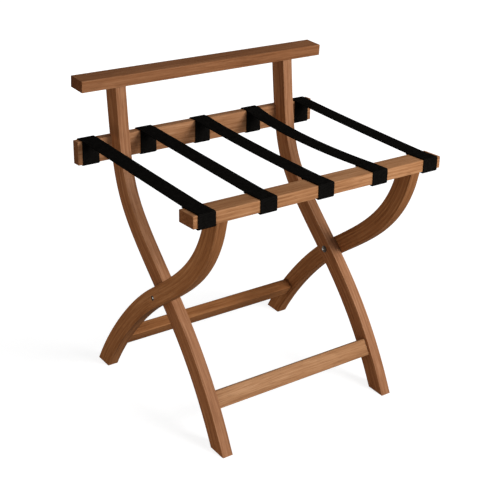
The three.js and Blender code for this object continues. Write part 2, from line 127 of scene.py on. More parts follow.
# Straps
STRAP_SAGS = (0.5, 0.5, 4, 11, 1.5)  # one strap each, left to right, at the deepest point
SAG_LEAN = 0.8  # below 1 the deepest point lies nearer the rear rail
STRAP_WIDTH = 38
STRAP_THICKNESS = 2  # a little less than the CAD solid's
STRAP_END_MARGIN = 9.5  # outer straps from the ends of the rails
STRAP_LEG_GAP = 4.6  # outer straps from the curved legs
STRAP_DROOP = 1.6  # how far a strap hangs off the front rail's lower front edge
LAP_LENGTH = 4  # the sewn overlap under the span at each rail
LAP_START = 3  # along the span from the rail
LAP_CLEARANCE = 0.2
LAP_TURN = 8  # the lap meets the rail's inner face this far below its top

# How finely shapes are drawn and solved
CORNER_STEPS = 6
LATHE_SIDES = 40
DOME_STEPS = 7
LEG_SAMPLES = 240  # on each of a leg's two bends
LEG_STATIONS = 90
LEG_END_ROOM = 26  # from a leg's cut end to its first full section
LEG_EASE_SEGMENTS = 2
HEIGHT_HALVINGS = 40
SPAN_STEP = 4
LAP_STEPS = 5
TURN_STEPS = 5
SELVEDGE_STEPS = 6
TAPE_STEPS = 4
SHARP_ANGLE = 34
TAPE_SHARP_ANGLE = 50

# Derived places
LEG_GAP = WASHER_THICKNESS + 2 * GAP
CURVED_LEG_X = RACK_WIDTH / 2 - STRAP_END_MARGIN - STRAP_WIDTH - STRAP_LEG_GAP - LEG_THICKNESS / 2
LONG_LEG_X = CURVED_LEG_X - LEG_THICKNESS - LEG_GAP
BOLT_END = 2 * LEG_THICKNESS + LEG_GAP - NUT_RECESS  # from the long leg's inner face
NUT_RADIUS = BOLT_RADIUS + GAP + NUT_WALL
STRAP_PITCH = (RACK_WIDTH - 2 * STRAP_END_MARGIN - STRAP_WIDTH) / (len(STRAP_SAGS) - 1)
STRAP_OFFSET = GAP + STRAP_THICKNESS / 2  # strap's middle from a rail's surface
STRAP_XS = [(i - (len(STRAP_SAGS) - 1) / 2) * STRAP_PITCH for i in range(len(STRAP_SAGS))]

# Floor, light and camera, in metres
WHITE = (1, 1, 1, 1)
FLOOR_HALF = 7.0
FLOOR_COLOR = (0.36, 0.36, 0.36, 1)
FLOOR_FADE = dict(low=0.5, high=1.9, to_low=0.84, to_high=1.0)  # glow by distance from the origin
WORLD_LIGHT = 0.2
LAMP_AIM = Vector((0, 0, 0.33))
LENS = 80.77
SENSOR_WIDTH = 36
CAMERA_PLACE = Vector((-1.2984, -1.6603, 1.3563))
CAMERA_AIM = Vector((-0.0113, -0.0051, 0.3052))
CAMERA_ROLL = math.radians(3.87)


# Mesh building

def new_piece(name, points, faces):
    """A mesh object from points in millimetres, with its faces pointing out."""
    mesh = bpy.data.meshes.new(name)
    mesh.from_pydata([Vector(point) * MM for point in points], [], faces)
    skin = bmesh.new()
    skin.from_mesh(mesh)
    bmesh.ops.recalc_face_normals(skin, faces=skin.faces)
    skin.to_mesh(mesh)
    skin.free()
    piece = bpy.data.objects.new(name, mesh)
    scene.collection.objects.link(piece)
    return piece


def shade(piece, sharp_angle=SHARP_ANGLE):
    """Smooth shading, apart from edges that turn by more than an angle in degrees."""
    piece.data.shade_smooth()
    piece.data.set_sharp_from_angle(angle=math.radians(sharp_angle))


def loft(name, rings):
    """Joins rings of equally many points into one closed skin."""
    count = len(rings[0])
    points = [point for ring in rings for point in ring]
    faces = [list(range(count)), list(range(len(points) - count, len(points)))]
    for row in range(len(rings) - 1):
        low, high = row * count, (row + 1) * count
        for i in range(count):
            j = (i + 1) % count
            faces.append([low + i, low + j, high + j, high + i])
    return new_piece(name, points, faces)


def rounded(width, height, radius):
    """Points round a rectangle with rounded corners, about its centre."""
    points = []
    for quarter, (sx, sy) in enumerate(CORNERS):
        for step in range(CORNER_STEPS + 1):
            angle = (quarter + step / CORNER_STEPS) * math.pi / 2
            points.append((
                sx * (width / 2 - radius) + radius * math.cos(angle),
                sy * (height / 2 - radius) + radius * math.sin(angle),
            ))
    return points


def turned(name, profile, start, axis):
    """A lathe piece from (radius, distance) pairs along an axis; a profile that closes makes a ring."""
    axis = Vector(axis)
    across = axis.orthogonal().normalized()
    other = axis.cross(across)
    loop = profile[0] == profile[-1]
    pairs = profile[:-1] if loop else profile
    points, rows = [], []
    for radius, distance in pairs:
        count = 1 if radius == 0 else LATHE_SIDES
        rows.append(list(range(len(points), len(points) + count)))
        for i in range(count):
            angle = 2 * math.pi * i / LATHE_SIDES
            out = across * math.cos(angle) + other * math.sin(angle)
            points.append(Vector(start) + axis * distance + out * radius)
    faces = []
    for row, after in zip(rows, rows[1:] + (rows[:1] if loop else [])):
        for i in range(LATHE_SIDES):
            j = (i + 1) % LATHE_SIDES
            corners = [row[i % len(row)], row[j % len(row)], after[j % len(after)], after[i % len(after)]]
            face = list(dict.fromkeys(corners))
            if len(face) > 2:
                faces.append(face)
    return new_piece(name, points, faces)


def rod(radius, start, end):
    """A lathe profile of a plain round rod."""
    return [(0, start), (radius, start), (radius, end), (0, end)]


def washer(inner, outer, start, end):
    """A lathe profile of a flat ring."""
    return [(inner, start), (outer, start), (outer, end), (inner, end), (inner, start)]


def dome(radius, height, seat):
    """A lathe profile of half a flattened ball, from its crown down to a seat."""
    pairs = [(0, seat - height)]
    for step in range(1, DOME_STEPS + 1):
        angle = step / DOME_STEPS * math.pi / 2
        pairs.append((radius * math.sin(angle), seat - height * math.cos(angle)))
    return pairs


def carve(piece, cutters):
    """Cuts the cutters out of a piece and removes them."""
    for cutter in cutters:
        cut = piece.modifiers.new("cut", "BOOLEAN")
        cut.object = cutter
        cut.operation = "DIFFERENCE"
        cut.solver = "EXACT"
    result = bpy.data.meshes.new_from_object(piece.evaluated_get(bpy.context.evaluated_depsgraph_get()))
    piece.modifiers.clear()
    piece.data = result
    for cutter in cutters:
        bpy.data.objects.remove(cutter)


# Where the bars and legs stand

class Bar:
    """A rail or stretcher: depth runs back, height up, both turned by its tilt."""

    def __init__(self, depth, height, edge, tilt=0.0):
        self.depth, self.height, self.edge, self.tilt = depth, height, edge, tilt
        self.y = self.z = 0.0

    def point(self, d, h):
        """A place in its section, as (y, z)."""
        cos, sin = math.cos(self.tilt), math.sin(self.tilt)
        return Vector((self.y + d * cos + h * sin, self.z - d * sin + h * cos))

    def at(self, x, d, h):
        return Vector((x, *self.point(d, h)))

    def grain(self, points):
        """Places in the bar's own axes, along it first."""
        cos, sin = math.cos(self.tilt), math.sin(self.tilt)
        y, z = points[:, 1] - self.y, points[:, 2] - self.z
        return np.stack((points[:, 0], y * cos - z * sin, y * sin + z * cos), 1)

    @property
    def backward(self):
        return Vector((0, math.cos(self.tilt), -math.sin(self.tilt)))

    @property
    def upward(self):
        return Vector((0, math.sin(self.tilt), math.cos(self.tilt)))


def slope(leg, angle):
    """A leg's upward direction, as (y, z), at an angle in degrees from the floor."""
    return Vector((leg["lean"] * math.cos(math.radians(angle)), math.sin(math.radians(angle))))


class LegPath:
    """A leg's centreline: one bend from the foot to the pivot, one from the pivot to the top."""

    def __init__(self, leg, foot, top):
        self.leg = leg
        across = slope(leg, leg["pivot_slope"])
        lower = leg["lower_pull"] * (PIVOT - foot).length
        upper = leg["upper_pull"] * (top - PIVOT).length
        bends = (
            (foot, foot + slope(leg, leg["foot_slope"]) * lower, PIVOT - across * lower, PIVOT),
            (PIVOT, PIVOT + across * upper, top - slope(leg, leg["top_slope"]) * upper, top),
        )
        self.points = []
        for a, b, c, d in bends:
            for i in range(LEG_SAMPLES):
                t = i / LEG_SAMPLES
                s = 1 - t
                self.points.append(a * s**3 + b * (3 * s * s * t) + c * (3 * s * t * t) + d * t**3)
        self.points.append(top)
        self.runs = [0.0]
        for a, b in zip(self.points, self.points[1:]):
            self.runs.append(self.runs[-1] + (b - a).length)
        self.length = self.runs[-1]
        self.pivot_run = self.runs[LEG_SAMPLES]

    def station(self, run):
        """Centre, direction, side and half width at a distance from the foot."""
        i = 0
        while i < len(self.runs) - 2 and self.runs[i + 1] < run:
            i += 1
        share = (run - self.runs[i]) / (self.runs[i + 1] - self.runs[i])
        centre = self.points[i].lerp(self.points[i + 1], share)
        low, high = max(i - 1, 0), min(i + 2, len(self.points) - 1)
        along = (self.points[high] - self.points[low]).normalized()
        side = Vector((-along.y, along.x)) * self.leg["lean"]
        rise = max(0.0, (run - self.pivot_run) / (self.length - self.pivot_run))
        width = self.leg["width"] + (self.leg["top_width"] - self.leg["width"]) * rise
        return centre, along, side, width / 2

    def at_height(self, height):
        """The station at a height above the floor."""
        low, high = 0.0, self.length
        for _ in range(HEIGHT_HALVINGS):
            middle = (low + high) / 2
            if self.station(middle)[0].y < height:
                low = middle
            else:
                high = middle
        return self.station(low)

    def grain(self, points):
        """Places along the bend, across it and through it, so that the grain follows the leg."""
        line = np.array(self.points)
        away = points[:, None, 1:] - line[None]
        nearest = (away**2).sum(2).argmin(1)
        ways = np.gradient(line, axis=0)
        ways /= np.linalg.norm(ways, axis=1)[:, None]
        rest, way = away[np.arange(len(points)), nearest], ways[nearest]
        run = np.array(self.runs)[nearest] + (rest * way).sum(1)
        return np.stack((run, rest[:, 1] * way[:, 0] - rest[:, 0] * way[:, 1], points[:, 0]), 1)


def half_foot(leg):
    """Half the length of a leg's level cut at the floor."""
    return leg["width"] / 2 / math.sin(math.radians(leg["foot_slope"]))


def stretcher(size, path, level, setback):
    """A bar turned with its leg, level with a place on it and set back from the leg's front edge."""
    centre, along, side, half = path.at_height(level)
    bar = Bar(**size, tilt=math.pi / 2 - math.atan2(along.y, along.x))
    into_leg = side * -path.leg["lean"]
    bar.y, bar.z = centre + into_leg * (setback + bar.depth / 2 - half)
    return bar


top_rail = Bar(**TOP_RAIL)
top_rail.y = RACK_DEPTH / 2 - top_rail.depth / 2
top_rail.z = SEAT_HEIGHT + BACK_RISE - top_rail.height / 2

front_rail = Bar(**FRONT_RAIL, tilt=RAIL_TILT)
front_edge = front_rail.point(-front_rail.depth / 2, front_rail.height / 2)
front_rail.y = FRONT_RAIL_SETBACK - RACK_DEPTH / 2 - front_edge.x
front_rail.z = SEAT_HEIGHT - front_edge.y

long_path = LegPath(
    LONG_LEG,
    Vector((half_foot(LONG_LEG) - RACK_DEPTH / 2, 0)),
    top_rail.point(0, -top_rail.height / 2),
)
curved_path = LegPath(
    CURVED_LEG,
    Vector((RACK_DEPTH / 2 - REAR_FOOT_SETBACK - half_foot(CURVED_LEG), 0)),
    front_rail.point(0, -front_rail.height / 2),
)

rear_rail = Bar(**REAR_RAIL, tilt=RAIL_TILT)
rear_edge = rear_rail.point(-rear_rail.depth / 2, rear_rail.height / 2)
rear_rail.z = SEAT_HEIGHT - REAR_RAIL_DROP - rear_edge.y
post, post_way, _, post_half = long_path.at_height(rear_rail.z)
rear_rail.y = post.x + post_half / post_way.y - REAR_RAIL_HOUSING + rear_rail.depth / 2

front_stretcher = stretcher(
    FRONT_STRETCHER, long_path, FRONT_STRETCHER_HEIGHT, FRONT_STRETCHER_SETBACK,
)
rear_stretcher = stretcher(
    REAR_STRETCHER, curved_path, REAR_STRETCHER_HEIGHT, REAR_STRETCHER_SETBACK,
)


# Shader nodes

NOISE_RANGE = (0.3, 0.7)  # where most values of a noise lie
NOISE_MIDDLE = (0.5, 0.5, 0.5)


class Nodes:
    """A node tree with short calls to add and link nodes."""

    def __init__(self, tree):
        self.tree = tree

    def fill(self, socket, value):
        """Links an output to a socket, or sets the socket to a plain value."""
        if hasattr(value, "is_output"):
            self.tree.links.new(value, socket)
        else:
            socket.default_value = value

    def add(self, kind, inputs=None, **settings):
        node = self.tree.nodes.new("ShaderNode" + kind)
        for key, value in settings.items():
            setattr(node, key, value)
        for key, value in (inputs or {}).items():
            self.fill(node.inputs[key], value)
        return node

    def math(self, operation, a, b=0.0, clamp=False):
        return self.add("Math", {0: a, 1: b}, operation=operation, use_clamp=clamp).outputs[0]

    def total(self, *parts):
        """The sum of values, each times its weight."""
        products = [self.math("MULTIPLY", value, weight) for value, weight in parts]
        result = products[0]
        for product in products[1:]:
            result = self.math("ADD", result, product)
        return result

    def vector(self, operation, *inputs):
        return self.add("VectorMath", dict(enumerate(inputs)), operation=operation).outputs["Vector"]

    def measure(self, operation, *inputs):
        """A vector's length, or the dot product of two."""
        return self.add("VectorMath", dict(enumerate(inputs)), operation=operation).outputs["Value"]

    def drawn(self, vector, share):
        """A place whose patterns are drawn out along its first axis, the more the smaller the share."""
        return self.vector("MULTIPLY", vector, (share, 1, 1))

    def noise(self, vector, scale, detail=2.0, roughness=0.5, draw=1.0, output="Fac"):
        place = self.drawn(vector, draw)
        inputs = {"Vector": place, "Scale": scale, "Detail": detail, "Roughness": roughness}
        return self.add("TexNoise", inputs).outputs[output]

    def wave(self, vector, inputs, **kind):
        return self.add("TexWave", {"Vector": vector, **inputs}, **kind).outputs["Fac"]

    def between(self, value, low, high, to_low=0.0, to_high=1.0):
        inputs = {"Value": value, "From Min": low, "From Max": high, "To Min": to_low, "To Max": to_high}
        return self.add("MapRange", inputs).outputs["Result"]

    def ramp(self, value, stops):
        node = self.add("ValToRGB", {"Fac": value})
        elements = node.color_ramp.elements
        while len(elements) < len(stops):
            elements.new(0.5)
        for element, (place, color) in zip(elements, stops):
            element.position = place
            element.color = (*color, 1)
        return node.outputs["Color"]

    def blend(self, factor, a, b, mode="MIX"):
        """A mix of two colours, by the numbers of the node's colour sockets."""
        node = self.add("Mix", {0: factor, 6: a, 7: b}, data_type="RGBA", blend_type=mode)
        return node.outputs[2]

    def cover(self, color, over, amount, strength):
        """Lays one colour over another by an amount times a strength."""
        return self.blend(self.math("MULTIPLY", amount, strength), color, over)

    def bump(self, height, strength, distance):
        inputs = {"Height": height, "Strength": strength, "Distance": distance}
        return self.add("Bump", inputs).outputs["Normal"]


class Paint(Nodes):
    """A new material with one principled shader."""

    def __init__(self, name):
        self.material = bpy.data.materials.new(name)
        self.material.use_nodes = True
        super().__init__(self.material.node_tree)
        self.shader = self.tree.nodes["Principled BSDF"]

    def set(self, **inputs):
        for key, value in inputs.items():
            self.fill(self.shader.inputs[key.replace("_", " ")], value)


# Wood: scales are in cycles for a metre across the grain, and draw is the share of that along it

WOOD_STOPS = (
    (0.10, (0.215, 0.088, 0.034)),
    (0.40, (0.335, 0.150, 0.063)),
    (0.65, (0.405, 0.192, 0.086)),
    (0.92, (0.500, 0.258, 0.126)),
)
WOOD_TONES = (0.42, 1.03)  # at the start and the end of the stops
WOOD_ROUGHNESS = (0.42, 0.58)
WARP = dict(scale=16.0, draw=0.16)
WARP_PUSH = (0, 0.016, 0.016)
RING_DRAW = 0.045
RING_WAVE = {"Scale": 40.0, "Distortion": 4.0, "Detail": 3.0, "Detail Scale": 0.5, "Detail Roughness": 0.6}
RING_WEIGHT = 0.12
FIBRE = dict(scale=360.0, draw=0.034, detail=4.0, roughness=0.62)
FIBRE_WEIGHT = 0.85
FIBRE_HEIGHT = 0.6
BANDS = dict(scale=30.0, draw=0.12)
BAND_WEIGHT = 0.5
PORES = dict(scale=1300.0, draw=0.03, detail=1.0)
PORE_EDGE = (0.6, 0.72)
PORE_STRENGTH = 0.5
PORE_COLOR = (0.09, 0.036, 0.015, 1)
SPECK_SCALE = 34.0
SPECK_DRAW = 0.4
SPECK_EDGE = (0.10, 0.03)  # from the rim of a speck to its middle
SPECK_CHANCE = (0.8, 0.82)  # only cells whose lot, from 0 to 1, is above this have a speck
SPECK_STRENGTH = 0.7
SPECK_COLOR = (0.06, 0.024, 0.01, 1)
WEAR_REACH = 0.0022  # metres from an edge
WEAR_SAMPLES = 4
WEAR_BEND = (0.99, 0.86)  # how far the softened normal turns away, as a cosine
WEAR_NOISE = dict(scale=70.0, detail=3.0)
WEAR_PATCHES = (0.42, 0.62)
WEAR_STRENGTH = 0.34
WORN_COLOR = (0.56, 0.33, 0.175, 1)
SIDEWAYS_POWER = 2.0

# Side tints, for faces that look to the side: painted shade on the long legs' broad sides, painted light on
# the curved legs' broad sides, and the darker stain of end grain on the ends of bars
# Painted shade: the long legs' broad sides darker and warmer than their edges
LONG_LEG_PAINTED_SHADE = (0.98, 0.8, 0.6, 1)
# Painted light: the curved legs' broad sides lighter than their edges
CURVED_LEG_PAINTED_LIGHT = (1.35, 1.25, 1.1, 1)
END_GRAIN = (0.56, 0.44, 0.34, 1)


def timber_place(paint, shift, stored_grain):
    """Where a point lies in its own stretch of timber, in metres, along the grain first."""
    if stored_grain:
        where = paint.add("Attribute", attribute_name="grain").outputs["Vector"]
    else:
        where = paint.add("TexCoord").outputs["Object"]
    return paint.vector("ADD", where, shift)


def timber_figure(paint, placed):
    """The timber's tone, its fibre and its open pores."""
    warp = paint.vector("SUBTRACT", paint.noise(placed, **WARP, output="Color"), NOISE_MIDDLE)
    pushed = paint.vector("MULTIPLY_ADD", warp, WARP_PUSH, placed)
    rings = paint.wave(
        paint.drawn(pushed, RING_DRAW), RING_WAVE, wave_type="RINGS", rings_direction="X",
    )
    fibre = paint.noise(pushed, **FIBRE)
    bands = paint.noise(placed, **BANDS)
    pores = paint.between(paint.noise(placed, **PORES), *PORE_EDGE)
    tone = paint.total((rings, RING_WEIGHT), (fibre, FIBRE_WEIGHT), (bands, BAND_WEIGHT))
    return tone, fibre, pores


def timber_specks(paint, placed):
    """Small dark specks in a few cells of the timber."""
    cells = paint.add("TexVoronoi", {"Vector": paint.drawn(placed, SPECK_DRAW), "Scale": SPECK_SCALE})
    lot = paint.add("SeparateColor", {"Color": cells.outputs["Color"]}).outputs["Red"]
    inside = paint.between(cells.outputs["Distance"], *SPECK_EDGE)
    return paint.math("MULTIPLY", inside, paint.between(lot, *SPECK_CHANCE))


def edge_wear(paint, placed, normal):
    """Patches along the edges where the stain is rubbed off."""
    softened = paint.add("Bevel", {"Radius": WEAR_REACH}, samples=WEAR_SAMPLES).outputs["Normal"]
    facing = paint.measure("DOT_PRODUCT", softened, normal)
    patches = paint.between(paint.noise(placed, **WEAR_NOISE), *WEAR_PATCHES)
    return paint.math("MULTIPLY", paint.between(facing, *WEAR_BEND), patches)


def wood(name, shift, tint, flank, stored_grain=True):
    """Stained hardwood from its own stretch of timber; a side tint multiplies the faces that look to the
    side, as painted light and shade on the legs' broad sides and as the darker stain of end grain on the ends
    of bars.
    """
    paint = Paint(name)
    placed = timber_place(paint, shift, stored_grain)
    tone, fibre, pores = timber_figure(paint, placed)
    stops = [(place, [c * t for c, t in zip(color, tint)]) for place, color in WOOD_STOPS]
    color = paint.ramp(paint.between(tone, *WOOD_TONES), stops)
    color = paint.cover(color, PORE_COLOR, pores, PORE_STRENGTH)
    color = paint.cover(color, SPECK_COLOR, timber_specks(paint, placed), SPECK_STRENGTH)

    normal = paint.add("NewGeometry").outputs["Normal"]
    sideways = paint.math("ABSOLUTE", paint.add("SeparateXYZ", {"Vector": normal}).outputs["X"])
    # Faces that look to the side take the side tint: painted light and shade on the legs, end grain's stain
    # on bar ends
    color = paint.blend(paint.math("POWER", sideways, SIDEWAYS_POWER), color, flank, "MULTIPLY")
    color = paint.cover(color, WORN_COLOR, edge_wear(paint, placed, normal), WEAR_STRENGTH)

    rough = paint.between(fibre, *NOISE_RANGE, *WOOD_ROUGHNESS)
    height = paint.math("SUBTRACT", paint.math("MULTIPLY", fibre, FIBRE_HEIGHT), pores)
    bump = paint.bump(height, strength=0.16, distance=0.0006)
    paint.set(Base_Color=color, Roughness=rough, Normal=bump)
    paint.set(Specular_IOR_Level=0.0, Coat_Weight=0.05, Coat_Roughness=0.45)
    return paint.material


# Webbing

WEBBING_STOPS = (
    (0.0, (0.0014, 0.0014, 0.0012)),
    (0.6, (0.0059, 0.0053, 0.0047)),
    (1.0, (0.0182, 0.0165, 0.0150)),
)
WEBBING_TONES = (0.1, 1.1)  # at the start and the end of the stops
WEBBING_ROUGHNESS = (0.72, 0.92)
RIB_WAVE = {"Scale": 150.0, "Distortion": 0.6, "Detail": 1.0, "Detail Scale": 3.0}
RIB_FLOOR = 0.5
TWILL_WAVE = {"Scale": 210.0, "Distortion": 0.5, "Detail": 1.0, "Detail Scale": 3.0}
WEAVE_WEIGHT = 0.6
FUZZ = dict(scale=2600.0)
FUZZ_HEIGHT = 0.3
LINT = dict(scale=90.0, detail=3.0)
LINT_WEIGHT = 0.5


def webbing(name):
    """Black woven tape: ribs along it crossed by a finer twill, from a UV map in metres."""
    paint = Paint(name)
    where = paint.add("UVMap", uv_map="weave").outputs["UV"]
    ribs = paint.wave(where, RIB_WAVE, wave_type="BANDS", bands_direction="X")
    twill = paint.wave(where, TWILL_WAVE, wave_type="BANDS", bands_direction="DIAGONAL")
    weave = paint.math("MULTIPLY", paint.math("ADD", ribs, RIB_FLOOR), twill)
    fuzz = paint.noise(where, **FUZZ)
    lint = paint.noise(where, **LINT)
    tone = paint.total((weave, WEAVE_WEIGHT), (lint, LINT_WEIGHT))
    color = paint.ramp(paint.between(tone, *WEBBING_TONES), WEBBING_STOPS)
    rough = paint.between(fuzz, *NOISE_RANGE, *WEBBING_ROUGHNESS)
    height = paint.math("ADD", weave, paint.math("MULTIPLY", fuzz, FUZZ_HEIGHT))
    bump = paint.bump(height, strength=0.55, distance=0.0005)
    paint.set(Base_Color=color, Roughness=rough, Normal=bump)
    paint.set(Specular_IOR_Level=0.0)
    return paint.material


# Steel

PLATE_COLORS = ((0.060, 0.058, 0.055), (0.145, 0.142, 0.136))  # dull and clean patches
PLATE_ROUGHNESS = (0.42, 0.26)
PLATE_PATCHES = dict(scale=420.0, detail=3.0)
SCRATCHES = dict(scale=2400.0, detail=3.0, draw=0.2)
SCRATCH_ROUGHNESS = 0.12
DARK_COLORS = ((0.032, 0.026, 0.021), (0.064, 0.053, 0.042))
DARK_ROUGHNESS = (0.5, 0.34)
DARK_PATCHES = dict(scale=600.0, detail=3.0)
# Painted highlight: a bright spot on the bolt's crown and end, close round the pivot axis
HIGHLIGHT_COLOR = (0.60, 0.58, 0.54, 1)
HIGHLIGHT_REACH = (0.0022, 0.0012)  # metres from the pivot axis, where it starts and is full


def steel(name):
    """Zinc-plated steel with turning marks and dull patches."""
    paint = Paint(name)
    where = paint.add("TexCoord").outputs["Object"]
    scratches = paint.noise(where, **SCRATCHES)
    patches = paint.noise(where, **PLATE_PATCHES)
    color = paint.ramp(patches, list(zip(NOISE_RANGE, PLATE_COLORS)))
    dull = paint.between(patches, *NOISE_RANGE, *PLATE_ROUGHNESS)
    rough = paint.math("ADD", dull, paint.math("MULTIPLY", scratches, SCRATCH_ROUGHNESS))
    bump = paint.bump(scratches, strength=0.1, distance=0.0002)
    paint.set(Base_Color=color, Roughness=rough, Normal=bump, Metallic=1.0)
    return paint.material


def steel_with_painted_highlight(name):
    """Darkened steel with a painted highlight: a bright spot close round the pivot axis."""
    paint = Paint(name)
    where = paint.add("TexCoord").outputs["Object"]
    offset = paint.vector("SUBTRACT", where, (0, PIVOT.x * MM, PIVOT.y * MM))
    away = paint.measure("LENGTH", paint.vector("MULTIPLY", offset, (0, 1, 1)))
    patches = paint.noise(where, **DARK_PATCHES)
    dark = paint.ramp(patches, list(zip(NOISE_RANGE, DARK_COLORS)))
    # The painted highlight: bright base colour close round the axis
    color = paint.blend(paint.between(away, *HIGHLIGHT_REACH), dark, HIGHLIGHT_COLOR)
    rough = paint.between(patches, *NOISE_RANGE, *DARK_ROUGHNESS)
    bump = paint.bump(patches, strength=0.12, distance=0.0002)
    paint.set(Base_Color=color, Roughness=rough, Normal=bump, Metallic=1.0)
    return paint.material


WEBBING = webbing("black_webbing")
STEEL = steel("plated_steel")
PIVOT_STEEL = steel_with_painted_highlight("pivot_steel")
DOWEL = wood(
    "dowel_wood", shift=(0, 0.09, 0.06), tint=(1.5, 1.7, 1.9), flank=END_GRAIN, stored_grain=False,
)


# Wooden pieces

def lay_grain(piece, course):
    """Stores where each point lies along the grain of a bar or a leg, in metres."""
    count = len(piece.data.vertices)
    points = np.zeros(count * 3)
    piece.data.vertices.foreach_get("co", points)
    places = course.grain(points.reshape(count, 3) / MM) * MM
    layer = piece.data.attributes.new("grain", "FLOAT_VECTOR", "POINT")
    layer.data.foreach_set("vector", places.astype(np.float32).ravel())


def finish_piece(piece, node, body, material):
    """Paints a rigid piece that stands for a CAD node and moves with a body."""
    piece.data.materials.clear()
    piece.data.materials.append(material)
    shade(piece)
    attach(piece, body)
    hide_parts(node)


def shaped_bar(node, bar, length, body, cutters=(), **look):
    """A bar with rounded edges and ends."""
    rings = []
    for end in (-1, 1):
        steps = range(CORNER_STEPS + 1)
        for step in steps if end < 0 else reversed(steps):
            angle = step / CORNER_STEPS * math.pi / 2
            inset = BAR_END_EDGE * (1 - math.sin(angle))
            x = end * (length / 2 - BAR_END_EDGE * (1 - math.cos(angle)))
            radius = bar.edge - inset * BAR_END_LOSS
            section = rounded(bar.depth - 2 * inset, bar.height - 2 * inset, radius)
            rings.append([bar.at(x, d, h) for d, h in section])
    piece = loft(node + "_shaped", rings)
    if cutters:
        carve(piece, cutters)
    lay_grain(piece, bar)
    finish_piece(piece, node, body, wood("wood_" + node, **look))


def shaped_leg(node, path, x, top_bar, body, cutters, **look):
    """A leg along its path, cut level at the foot and along its bar at the top."""
    top = top_bar.point(0, -top_bar.height / 2 - GAP)
    up = Vector((top_bar.upward.y, top_bar.upward.z))
    runs = [0.0]
    for i in range(LEG_STATIONS + 1):
        runs.append(LEG_END_ROOM + (path.length - 2 * LEG_END_ROOM) * i / LEG_STATIONS)
    runs.append(path.length)
    rings = []
    for run in runs:
        centre, along, side, half = path.station(run)
        points = []
        for v, u in rounded(2 * half, LEG_THICKNESS, LEG_EDGE):
            place = centre + side * v
            if run == 0:
                place = place - along * (place.y / along.y)
            elif run == path.length:
                place = place + along * ((top - place).dot(up) / along.dot(up))
            points.append((x + u, *place))
        rings.append(points)
    piece = loft(node + "_shaped", rings)
    carve(piece, cutters)
    lay_grain(piece, path)
    finish_piece(piece, node, body, wood("wood_" + node, **look))
    ease = piece.modifiers.new("eased_ends", "BEVEL")
    ease.width = LEG_EASE * MM
    ease.segments = LEG_EASE_SEGMENTS
    ease.limit_method = "ANGLE"
    ease.angle_limit = LEG_EASE_ANGLE


def on_pivot_axis(x):
    return (x, *PIVOT)


def pivot_bore():
    profile = rod(BOLT_RADIUS + GAP, -RACK_WIDTH, RACK_WIDTH)
    return turned("bore", profile, on_pivot_axis(0), (1, 0, 0))


def nut_bore(sign):
    """The counterbore in the outer face of a curved leg."""
    outer = CURVED_LEG_X + LEG_THICKNESS / 2
    profile = rod(NUT_RADIUS + GAP, outer - NUT_RECESS - NUT_HEIGHT - GAP, outer + LEG_EDGE)
    return turned("counterbore", profile, on_pivot_axis(0), (sign, 0, 0))


def housing():
    """The notch in the posts that the rear rail is let into."""
    d, h = rear_rail.depth / 2 + GAP, rear_rail.height / 2 + GAP
    ends = (-RACK_WIDTH, RACK_WIDTH)  # well past both posts
    return loft("housing", [[rear_rail.at(x, sd * d, sh * h) for sd, sh in CORNERS] for x in ends])


def screw_places():
    """Each rear rail screw's node, and its place on the back of the rail."""
    for side, sign in SIDES.items():
        for place, way in (("lower", -1), ("upper", 1)):
            start = rear_rail.at(sign * LONG_LEG_X, rear_rail.depth / 2, way * SCREW_SPACING / 2)
            yield f"rear_rail_screw_{side}_{place}", start


def countersinks():
    rim = SCREW_HEAD + GAP
    profile = [(0, -SINK_ROOM), (rim, -SINK_ROOM), (rim, 2 * GAP), (SCREW_SHANK, SINK_DEPTH), (0, SINK_DEPTH)]
    return [turned("sink", profile, start, -rear_rail.backward) for _, start in screw_places()]


def between_legs(leg_x):
    """The length of a stretcher between two legs."""
    return 2 * (leg_x - LEG_THICKNESS / 2 - GAP)


shaped_bar(
    "top_rail", top_rail, RACK_WIDTH - TOP_RAIL_SHORTER, BACK,
    shift=(0.3, 0.06, 0.03), tint=(0.72, 0.65, 0.63), flank=END_GRAIN,
)
shaped_bar(
    "rear_rail", rear_rail, RACK_WIDTH, BACK, countersinks(),
    shift=(1.7, 0.05, -0.04), tint=(0.94, 0.96, 1.02), flank=END_GRAIN,
)
shaped_bar(
    "front_rail", front_rail, RACK_WIDTH, FRONT,
    shift=(2.9, 0.03, 0.07), tint=(1.06, 1.08, 1.1), flank=END_GRAIN,
)
shaped_bar(
    "front_stretcher", front_stretcher, between_legs(LONG_LEG_X), BACK,
    shift=(4.1, 0.09, -0.02), tint=(1.04, 1.12, 1.2), flank=END_GRAIN,
)
# The rear stretcher's darker, warmer tint is painted shade for the shadow it lies in, low between the legs
shaped_bar(
    "rear_stretcher", rear_stretcher, between_legs(CURVED_LEG_X), FRONT,
    shift=(5.3, -0.03, 0.06), tint=(0.72, 0.62, 0.5), flank=END_GRAIN,
)
for side, sign in SIDES.items():
    # The legs' side tints are painted shade on the long legs and painted light on the curved legs
    shaped_leg(
        f"long_leg_{side}", long_path, sign * LONG_LEG_X, top_rail, BACK, [pivot_bore(), housing()],
        shift=(6.1 + sign, -0.04, -0.16 * sign), tint=(0.93, 0.92, 1.02), flank=LONG_LEG_PAINTED_SHADE,
    )
    shaped_leg(
        f"curved_leg_{side}", curved_path, sign * CURVED_LEG_X, front_rail, FRONT,
        [pivot_bore(), nut_bore(sign)],
        shift=(8.3 + sign, 0.06, -0.19 * sign), tint=(0.68, 0.6, 0.52), flank=CURVED_LEG_PAINTED_LIGHT,
    )

for name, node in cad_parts.items():
    if "dowel" in name:
        node.data.materials.clear()
        node.data.materials.append(DOWEL)


# Fixings

def fixing(node, profile, start, axis, body, material=STEEL):
    finish_piece(turned(node + "_turned", profile, start, axis), node, body, material)


